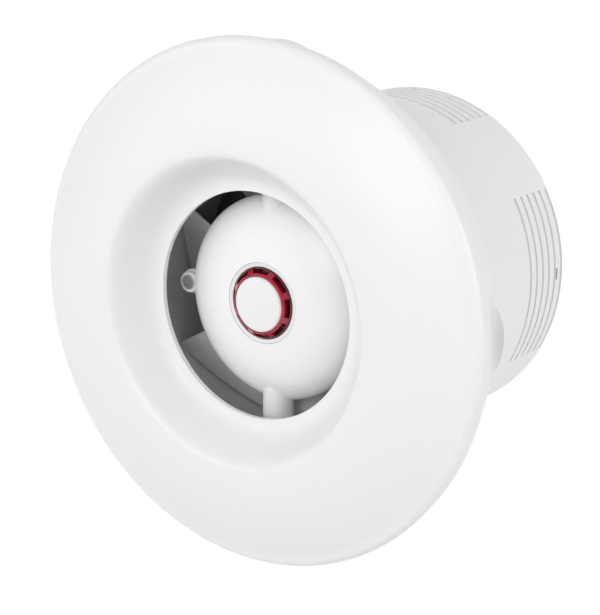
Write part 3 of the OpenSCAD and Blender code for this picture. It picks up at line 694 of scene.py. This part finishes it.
class HeatUnitCamera(bpy.types.PropertyGroup):
    """The photograph's camera and the studio's light."""

    place: bpy.props.FloatVectorProperty(
        name="Place",
        description="Where the camera stands",
        subtype="TRANSLATION",
        default=(0.4159, -0.5608, 0.1871),
    )
    aim: bpy.props.FloatVectorProperty(
        name="Aim",
        description="What the camera looks at",
        subtype="TRANSLATION",
        default=(0.0152, -0.0075, -0.0005),
    )
    lens: bpy.props.FloatProperty(name="Lens", description="Focal length, mm", default=102.5, min=20)
    sensor: bpy.props.FloatProperty(name="Sensor", description="Sensor's long side, mm", default=36.0)
    sky: bpy.props.FloatProperty(name="Sky", description="Strength of the even light", default=0.6, min=0)
    key: bpy.props.FloatProperty(
        name="Key", description="Power of the key soft box", default=4.8, min=0, unit="POWER"
    )
    front: bpy.props.FloatProperty(
        name="Front", description="Power of the box that lights the throat", default=4.0, min=0, unit="POWER"
    )
    fill: bpy.props.FloatProperty(
        name="Fill", description="Power of the fill soft box", default=7.6, min=0, unit="POWER"
    )


# ---------- Operators ----------

# The seat ring's flange lies on the cover round the mouth, which stands a little before it
SEAT_FLANGE = 2.0 * MM
MOUTH_LIFT = 0.1 * MM
# A screw boss: its head's bore, its shank's hole, and its floor and top above the plate
BORE_GAP = 0.15 * MM
SCREW_HEAD_R = 2.9 * MM
SCREW_SHANK_R = 1.7 * MM
BOSS_FLOOR = 1.6 * MM
BOSS_RISE = 2.6 * MM


def tool_group():
    """The shading group, made once."""
    return bpy.data.node_groups.get(SMOOTHING) or smoothing_nodes(SHARP_ANGLE)


def finish_of(slot):
    """The material that belongs to a slot of the record."""
    return bpy.data.materials[slot]


class FinishNodes(bpy.types.Operator):
    """Give every CAD node its finish and smooth shading"""

    bl_idname = "heat_unit.finish_nodes"
    bl_label = "Finish the CAD nodes"

    def execute(self, context):
        finishes = make_finishes(context.scene.heat_unit_look)
        group = tool_group()
        slots = {part["node"]: part["material_slot"] for part in frame["record"]["subparts"]}
        for name, node in NODES.items():
            node.data.materials.clear()
            node.data.materials.append(finishes[slots[name]])
            node.modifiers.new(SMOOTHING, "NODES").node_group = group
        grille = grille_shell_painted_shade("grille_shell_painted_shade", tuple(context.scene.heat_unit_look.shell_colour))
        NODES["rear_grille"].data.materials[0] = grille
        return {"FINISHED"}


class AddDomeCover(bpy.types.Operator):
    """Add the dome's cover with its two screw bosses"""

    bl_idname = "heat_unit.add_dome_cover"
    bl_label = "Dome cover"

    def execute(self, context):
        size = context.scene.heat_unit_dome
        plate_y = node_span("hub_dome", 1)[1]
        mouth_r = node_radius("seat_ring") - SEAT_FLANGE
        base_y = plate_y - size.rim_height
        mouth_y = node_span("seat_ring", 1)[0] - MOUTH_LIFT
        depth = (base_y - mouth_y) / math.sqrt(1 - (mouth_r / size.radius) ** 2)
        outer = quarter_ellipse(size.radius, depth, base_y, mouth_r)
        inner = quarter_ellipse(size.radius - size.wall, depth - size.wall, base_y, mouth_r)
        rim = [(size.radius, plate_y), (size.radius - size.wall, plate_y)]
        shell = turned(np.concatenate((outer, rim, inner[::-1])))
        screw_r = node_span("dome_screws", 0)[1] - SCREW_HEAD_R
        bore_r = SCREW_HEAD_R + BORE_GAP
        floor_y, top_y = plate_y - BOSS_FLOOR, plate_y - BOSS_RISE
        boss = [
            (SCREW_SHANK_R, floor_y),
            (bore_r, floor_y),
            (bore_r, top_y),
            (size.boss_radius, top_y),
            (size.boss_radius, plate_y),
            (SCREW_SHANK_R, plate_y),
        ]
        bosses = [turned(boss, (side * screw_r, 0.0)) for side in (-1, 1)]
        cover = solid_piece("dome_cover", [shell, *bosses], finish_of("white_shell"), tool_group())
        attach(cover, "base")
        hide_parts("hub_dome")
        return {"FINISHED"}


class AddSpigotMark(bpy.types.Operator):
    """Add the small raised mark on the spigot's rear end"""

    bl_idname = "heat_unit.add_spigot_mark"
    bl_label = "Spigot mark"

    def execute(self, context):
        spot = place_on(context.scene.camera, POINTS["spigot_mark"], NODES["spigot"])
        angle, radius = math.atan2(spot.z, spot.x), math.hypot(spot.x, spot.z)
        grid = raised_pip(radius, angle, spot.y)
        mark = solid_piece("spigot_mark", [grid], finish_of("white_shell"), tool_group())
        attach(mark, "base")
        return {"FINISHED"}


class BuildStage(bpy.types.Operator):
    """Set up the camera, the soft boxes, the floor and the backdrop"""

    bl_idname = "heat_unit.build_stage"
    bl_label = "Build the stage"

    def execute(self, context):
        rig = context.scene.heat_unit_camera
        context.scene.view_settings.view_transform = "Standard"
        add_camera(rig)
        white_world(rig.sky)
        add_lamp("key_box", *KEY_BOX, rig.key)
        add_lamp("front_box", *FRONT_BOX, rig.front)
        add_lamp("fill_box", *FILL_BOX, rig.fill)
        white = camera_white("stage_white", STAGE_SHADE)
        across = (2 * STAGE_HALF, 0, 0)
        deep = (0, 2 * STAGE_HALF, 0)
        floor = plane("floor", (-STAGE_HALF, -STAGE_HALF, FLOOR_Z), across, deep, white)
        up = (0, 0, BACKDROP_HEIGHT)
        backdrop = plane("backdrop", (-STAGE_HALF, BACKDROP_Y, FLOOR_Z), across, up, white)
        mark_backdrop(floor, backdrop)
        context.view_layer.update()
        return {"FINISHED"}


class HeatUnitPanel(bpy.types.Panel):
    """Lists the unit's steps and sizes"""

    bl_idname = "VIEW3D_PT_heat_unit"
    bl_label = "Heat recovery unit"
    bl_space_type = "VIEW_3D"
    bl_region_type = "UI"
    bl_category = "Ventilation"

    def draw(self, context):
        for step in STEPS:
            self.layout.operator(step.bl_idname)
        scene = context.scene
        for group in (scene.heat_unit_look, scene.heat_unit_dome, scene.heat_unit_camera):
            for key in group.__annotations__:
                self.layout.prop(group, key)


STEPS = (BuildStage, FinishNodes, AddDomeCover, AddSpigotMark)
CLASSES = (HeatUnitLook, HeatUnitDome, HeatUnitCamera, *STEPS, HeatUnitPanel)


def register():
    for cls in CLASSES:
        bpy.utils.register_class(cls)
    bpy.types.Scene.heat_unit_look = bpy.props.PointerProperty(type=HeatUnitLook)
    bpy.types.Scene.heat_unit_dome = bpy.props.PointerProperty(type=HeatUnitDome)
    bpy.types.Scene.heat_unit_camera = bpy.props.PointerProperty(type=HeatUnitCamera)


def unregister():
    del bpy.types.Scene.heat_unit_camera
    del bpy.types.Scene.heat_unit_dome
    del bpy.types.Scene.heat_unit_look
    for cls in reversed(CLASSES):
        bpy.utils.unregister_class(cls)


# ---------- Image points ----------

# The throat's circle, as the fascia's CAD has it
THROAT_R = 47.4 * MM
THROAT_Y = -19.0 * MM
# How deep the front faces of the button cap and the screw head are taken
FACE_DEPTH = 0.2 * MM
HEAD_DEPTH = 0.1 * MM


def circle(radius, y, count=720):
    """Points of a circle about the Y axis."""
    t = np.linspace(0, 2 * math.pi, count, endpoint=False)
    return np.stack((radius * np.cos(t), np.full(count, y), radius * np.sin(t)), -1)


def front_of(points, depth):
    """The points that lie within a depth of the foremost one."""
    return points[points[:, 1] < points[:, 1].min() + depth]


def middle(pixels):
    """The middle of a set of pixels' extent."""
    return tuple((pixels.min(0) + pixels.max(0)) / 2)


def difference(shown, wanted):
    """How far something shows from its image point in x and y, for the coordinates that the point gives."""
    return [None if want is None else round(float(got - want), 2) for got, want in zip(shown, wanted)]


def write_points():
    """Works out how far each thing shows from its image point."""
    camera = bpy.context.scene.camera
    showing = [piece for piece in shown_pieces() if not piece.hide_render]
    outline = shown_at(camera, np.concatenate([finished_points(piece) for piece in showing]))
    throat = shown_at(camera, circle(THROAT_R, THROAT_Y))
    ring = shown_at(camera, finished_points(NODES["indicator_ring"]))
    face = front_of(finished_points(NODES["button_cap"]), FACE_DEPTH)
    screws = finished_points(NODES["dome_screws"])
    head = front_of(screws[screws[:, 0] < 0], HEAD_DEPTH)
    mark = finished_points(bpy.data.objects["spigot_mark"])
    places = {
        "outline_left": (outline[:, 0].min(), None),
        "outline_right": (outline[:, 0].max(), None),
        "outline_top": (None, outline[:, 1].min()),
        "outline_bottom": (None, outline[:, 1].max()),
        "throat_centre": middle(throat),
        "throat_left": tuple(throat[throat[:, 0].argmin()]),
        "throat_bottom": tuple(throat[throat[:, 1].argmax()]),
        "button_centre": middle(shown_at(camera, face)),
        "red_ring_right": tuple(ring[ring[:, 0].argmax()]),
        "dome_screw": middle(shown_at(camera, head)),
        "spigot_mark": middle(shown_at(camera, mark)),
    }
    off = {name: difference(places[name], point) for name, point in POINTS.items()}


def main():
    register()
    bpy.ops.heat_unit.build_stage()
    bpy.ops.heat_unit.finish_nodes()
    bpy.ops.heat_unit.add_dome_cover()
    bpy.ops.heat_unit.add_spigot_mark()
    write_points()


if __name__ == "__main__":
    main()
